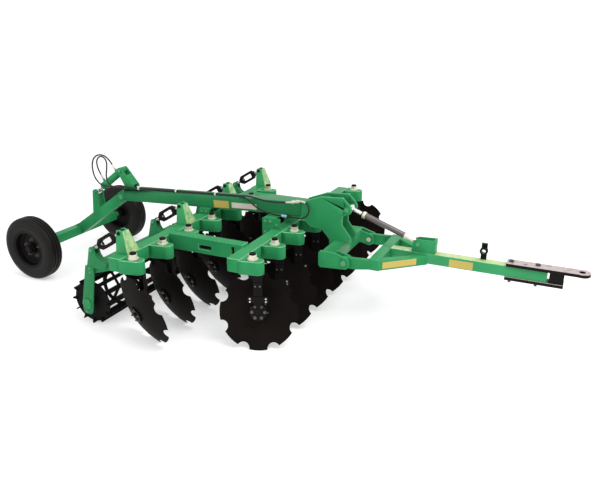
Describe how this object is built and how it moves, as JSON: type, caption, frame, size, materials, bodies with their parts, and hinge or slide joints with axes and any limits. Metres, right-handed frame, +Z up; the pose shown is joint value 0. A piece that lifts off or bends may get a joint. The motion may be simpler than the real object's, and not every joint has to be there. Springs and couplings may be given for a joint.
{
  "type": "disc harrow",
  "caption": "Trailed compact disc harrow: rows of notched discs on single stands, cage rollers behind, lifted transport wheels and a hinged drawbar.",
  "frame": {"origin": "centre of the footprint box on the ground", "axes": "+X forward along the drawbar, +Y to the left, +Z up"},
  "size_m": [4.801, 2.5886, 1.0496],
  "materials": {
    "frame_paint": "satin green enamel",
    "disc_steel": "black stove paint",
    "tyre": "matte rubber",
    "rim_paint": "satin black",
    "roller_paint": "satin black",
    "black_paint": "satin black",
    "zinc": "yellowish zinc plating",
    "rod_chrome": "polished chrome",
    "barrel_paint": "satin grey",
    "hitch_paint": "worn satin black",
    "hose_rubber": "matte hydraulic hose"
  },
  "bodies": {
    "frame": {"main_beam": "frame_paint", "front_crossbeam": "frame_paint", "rear_crossbeam": "frame_paint", "side_members": "frame_paint", "beam_saddles": "frame_paint", "headstock_plates": "frame_paint", "hinge_tube": "frame_paint", "front_brackets": "frame_paint", "rear_brackets": "frame_paint", "front_stands": "black_paint", "rear_stands": "black_paint", "stand_nuts": "zinc", "lift_tower": "frame_paint", "frame_pins": "zinc", "roller_posts": "frame_paint", "roller_frame_right": "frame_paint", "roller_frame_left": "frame_paint", "turnbuckles": "black_paint", "hose_lift_cap": "hose_rubber", "hose_lift_rod": "hose_rubber", "hose_couplers": "zinc"},
    "drawbar": {"drawbar_frame": "frame_paint", "drawbar_tube": "frame_paint", "strut_bracket": "frame_paint", "hose_post": "frame_paint", "hitch_plates": "hitch_paint", "hitch_bolts": "zinc"},
    "level_cylinder_barrel": {"level_barrel": "barrel_paint"},
    "level_cylinder_rod": {"level_rod": "rod_chrome"},
    "lift_cylinder_barrel": {"lift_barrel": "frame_paint"},
    "lift_cylinder_rod": {"lift_rod": "rod_chrome"},
    "wheel_arm": {"wheel_arm": "frame_paint", "axle": "frame_paint"},
    "wheel_right": {"rim_right": "rim_paint", "tyre_right": "tyre"},
    "wheel_left": {"rim_left": "rim_paint", "tyre_left": "tyre"},
    "roller_right": {"roller_right": "roller_paint"},
    "roller_left": {"roller_left": "roller_paint"},
    "disc_front_1": {"disc_front_1": "disc_steel"},
    "disc_front_2": {"disc_front_2": "disc_steel"},
    "disc_front_3": {"disc_front_3": "disc_steel"},
    "disc_front_4": {"disc_front_4": "disc_steel"},
    "disc_front_5": {"disc_front_5": "disc_steel"},
    "disc_front_6": {"disc_front_6": "disc_steel"},
    "disc_front_7": {"disc_front_7": "disc_steel"},
    "disc_rear_1": {"disc_rear_1": "disc_steel"},
    "disc_rear_2": {"disc_rear_2": "disc_steel"},
    "disc_rear_3": {"disc_rear_3": "disc_steel"},
    "disc_rear_4": {"disc_rear_4": "disc_steel"},
    "disc_rear_5": {"disc_rear_5": "disc_steel"},
    "disc_rear_6": {"disc_rear_6": "disc_steel"},
    "disc_rear_7": {"disc_rear_7": "disc_steel"}
  },
  "joints": [
    {"name": "drawbar_pitch", "type": "hinge", "parent": "frame", "child": "drawbar", "pos_m": [0.7435, 0, 0.52], "axis": [0, 1, 0], "range_deg": [-10, 8]},
    {"name": "level_barrel_pivot", "type": "hinge", "parent": "drawbar", "child": "level_cylinder_barrel", "pos_m": [1.2195, 0, 0.648], "axis": [0, 1, 0], "range_deg": [-2.58, 3.21]},
    {"name": "level_rod_slide", "type": "slide", "parent": "level_cylinder_barrel", "child": "level_cylinder_rod", "axis": [-0.9404, 0, 0.3401], "range_m": [-0.05082, 0.0407]},
    {"name": "wheel_arm_lift", "type": "hinge", "parent": "frame", "child": "wheel_arm", "pos_m": [-1.5235, 0, 0.69], "axis": [0, 1, 0], "range_deg": [-20, 12]},
    {"name": "lift_barrel_pivot", "type": "hinge", "parent": "frame", "child": "lift_cylinder_barrel", "pos_m": [-1.5265, 0, 0.925], "axis": [0, 1, 0], "range_deg": [-13.2, 7.94], "deforming": ["hose_lift_cap", "hose_lift_rod"]},
    {"name": "lift_rod_slide", "type": "slide", "parent": "lift_cylinder_barrel", "child": "lift_cylinder_rod", "axis": [-0.8036, 0, -0.5952], "range_m": [-0.03947, 0.06565]},
    {"name": "wheel_right_spin", "type": "hinge", "parent": "wheel_arm", "child": "wheel_right", "pos_m": [-2.1165, -0.59, 0.284], "axis": [0, 1, 0], "continuous": true},
    {"name": "wheel_left_spin", "type": "hinge", "parent": "wheel_arm", "child": "wheel_left", "pos_m": [-2.1165, 0.59, 0.284], "axis": [0, 1, 0], "continuous": true},
    {"name": "roller_right_spin", "type": "hinge", "parent": "frame", "child": "roller_right", "pos_m": [-1.0215, -0.595, 0.1805], "axis": [0, 1, 0], "continuous": true},
    {"name": "roller_left_spin", "type": "hinge", "parent": "frame", "child": "roller_left", "pos_m": [-1.0215, 0.485, 0.1805], "axis": [0, 1, 0], "continuous": true},
    {"name": "disc_front_1_spin", "type": "hinge", "parent": "frame", "child": "disc_front_1", "pos_m": [0.31174, -0.84798, 0.26965], "axis": [0.3601, -0.8913, 0.2756], "continuous": true},
    {"name": "disc_front_2_spin", "type": "hinge", "parent": "frame", "child": "disc_front_2", "pos_m": [0.31174, -0.51298, 0.26965], "axis": [0.3601, -0.8913, 0.2756], "continuous": true},
    {"name": "disc_front_3_spin", "type": "hinge", "parent": "frame", "child": "disc_front_3", "pos_m": [0.31174, -0.17798, 0.26965], "axis": [0.3601, -0.8913, 0.2756], "continuous": true},
    {"name": "disc_front_4_spin", "type": "hinge", "parent": "frame", "child": "disc_front_4", "pos_m": [0.31174, 0.15702, 0.26965], "axis": [0.3601, -0.8913, 0.2756], "continuous": true},
    {"name": "disc_front_5_spin", "type": "hinge", "parent": "frame", "child": "disc_front_5", "pos_m": [0.31174, 0.49202, 0.26965], "axis": [0.3601, -0.8913, 0.2756], "continuous": true},
    {"name": "disc_front_6_spin", "type": "hinge", "parent": "frame", "child": "disc_front_6", "pos_m": [0.31174, 0.82702, 0.26965], "axis": [0.3601, -0.8913, 0.2756], "continuous": true},
    {"name": "disc_front_7_spin", "type": "hinge", "parent": "frame", "child": "disc_front_7", "pos_m": [0.31174, 1.16202, 0.26965], "axis": [0.3601, -0.8913, 0.2756], "continuous": true},
    {"name": "disc_rear_1_spin", "type": "hinge", "parent": "frame", "child": "disc_rear_1", "pos_m": [-0.44226, -1.16202, 0.26965], "axis": [0.3601, 0.8913, 0.2756], "continuous": true},
    {"name": "disc_rear_2_spin", "type": "hinge", "parent": "frame", "child": "disc_rear_2", "pos_m": [-0.44226, -0.82702, 0.26965], "axis": [0.3601, 0.8913, 0.2756], "continuous": true},
    {"name": "disc_rear_3_spin", "type": "hinge", "parent": "frame", "child": "disc_rear_3", "pos_m": [-0.44226, -0.49202, 0.26965], "axis": [0.3601, 0.8913, 0.2756], "continuous": true},
    {"name": "disc_rear_4_spin", "type": "hinge", "parent": "frame", "child": "disc_rear_4", "pos_m": [-0.44226, -0.15702, 0.26965], "axis": [0.3601, 0.8913, 0.2756], "continuous": true},
    {"name": "disc_rear_5_spin", "type": "hinge", "parent": "frame", "child": "disc_rear_5", "pos_m": [-0.44226, 0.17798, 0.26965], "axis": [0.3601, 0.8913, 0.2756], "continuous": true},
    {"name": "disc_rear_6_spin", "type": "hinge", "parent": "frame", "child": "disc_rear_6", "pos_m": [-0.44226, 0.51298, 0.26965], "axis": [0.3601, 0.8913, 0.2756], "continuous": true},
    {"name": "disc_rear_7_spin", "type": "hinge", "parent": "frame", "child": "disc_rear_7", "pos_m": [-0.44226, 0.84798, 0.26965], "axis": [0.3601, 0.8913, 0.2756], "continuous": true}
  ],
  "couplings": [
    {"joint": "level_barrel_pivot", "follows": "drawbar_pitch", "ratio": -0.30993},
    {"joint": "level_rod_slide", "follows": "drawbar_pitch", "m_per_rad": 0.28435},
    {"joint": "lift_barrel_pivot", "follows": "wheel_arm_lift", "ratio": 0.64456},
    {"joint": "lift_rod_slide", "follows": "wheel_arm_lift", "m_per_rad": -0.18382}
  ]
}
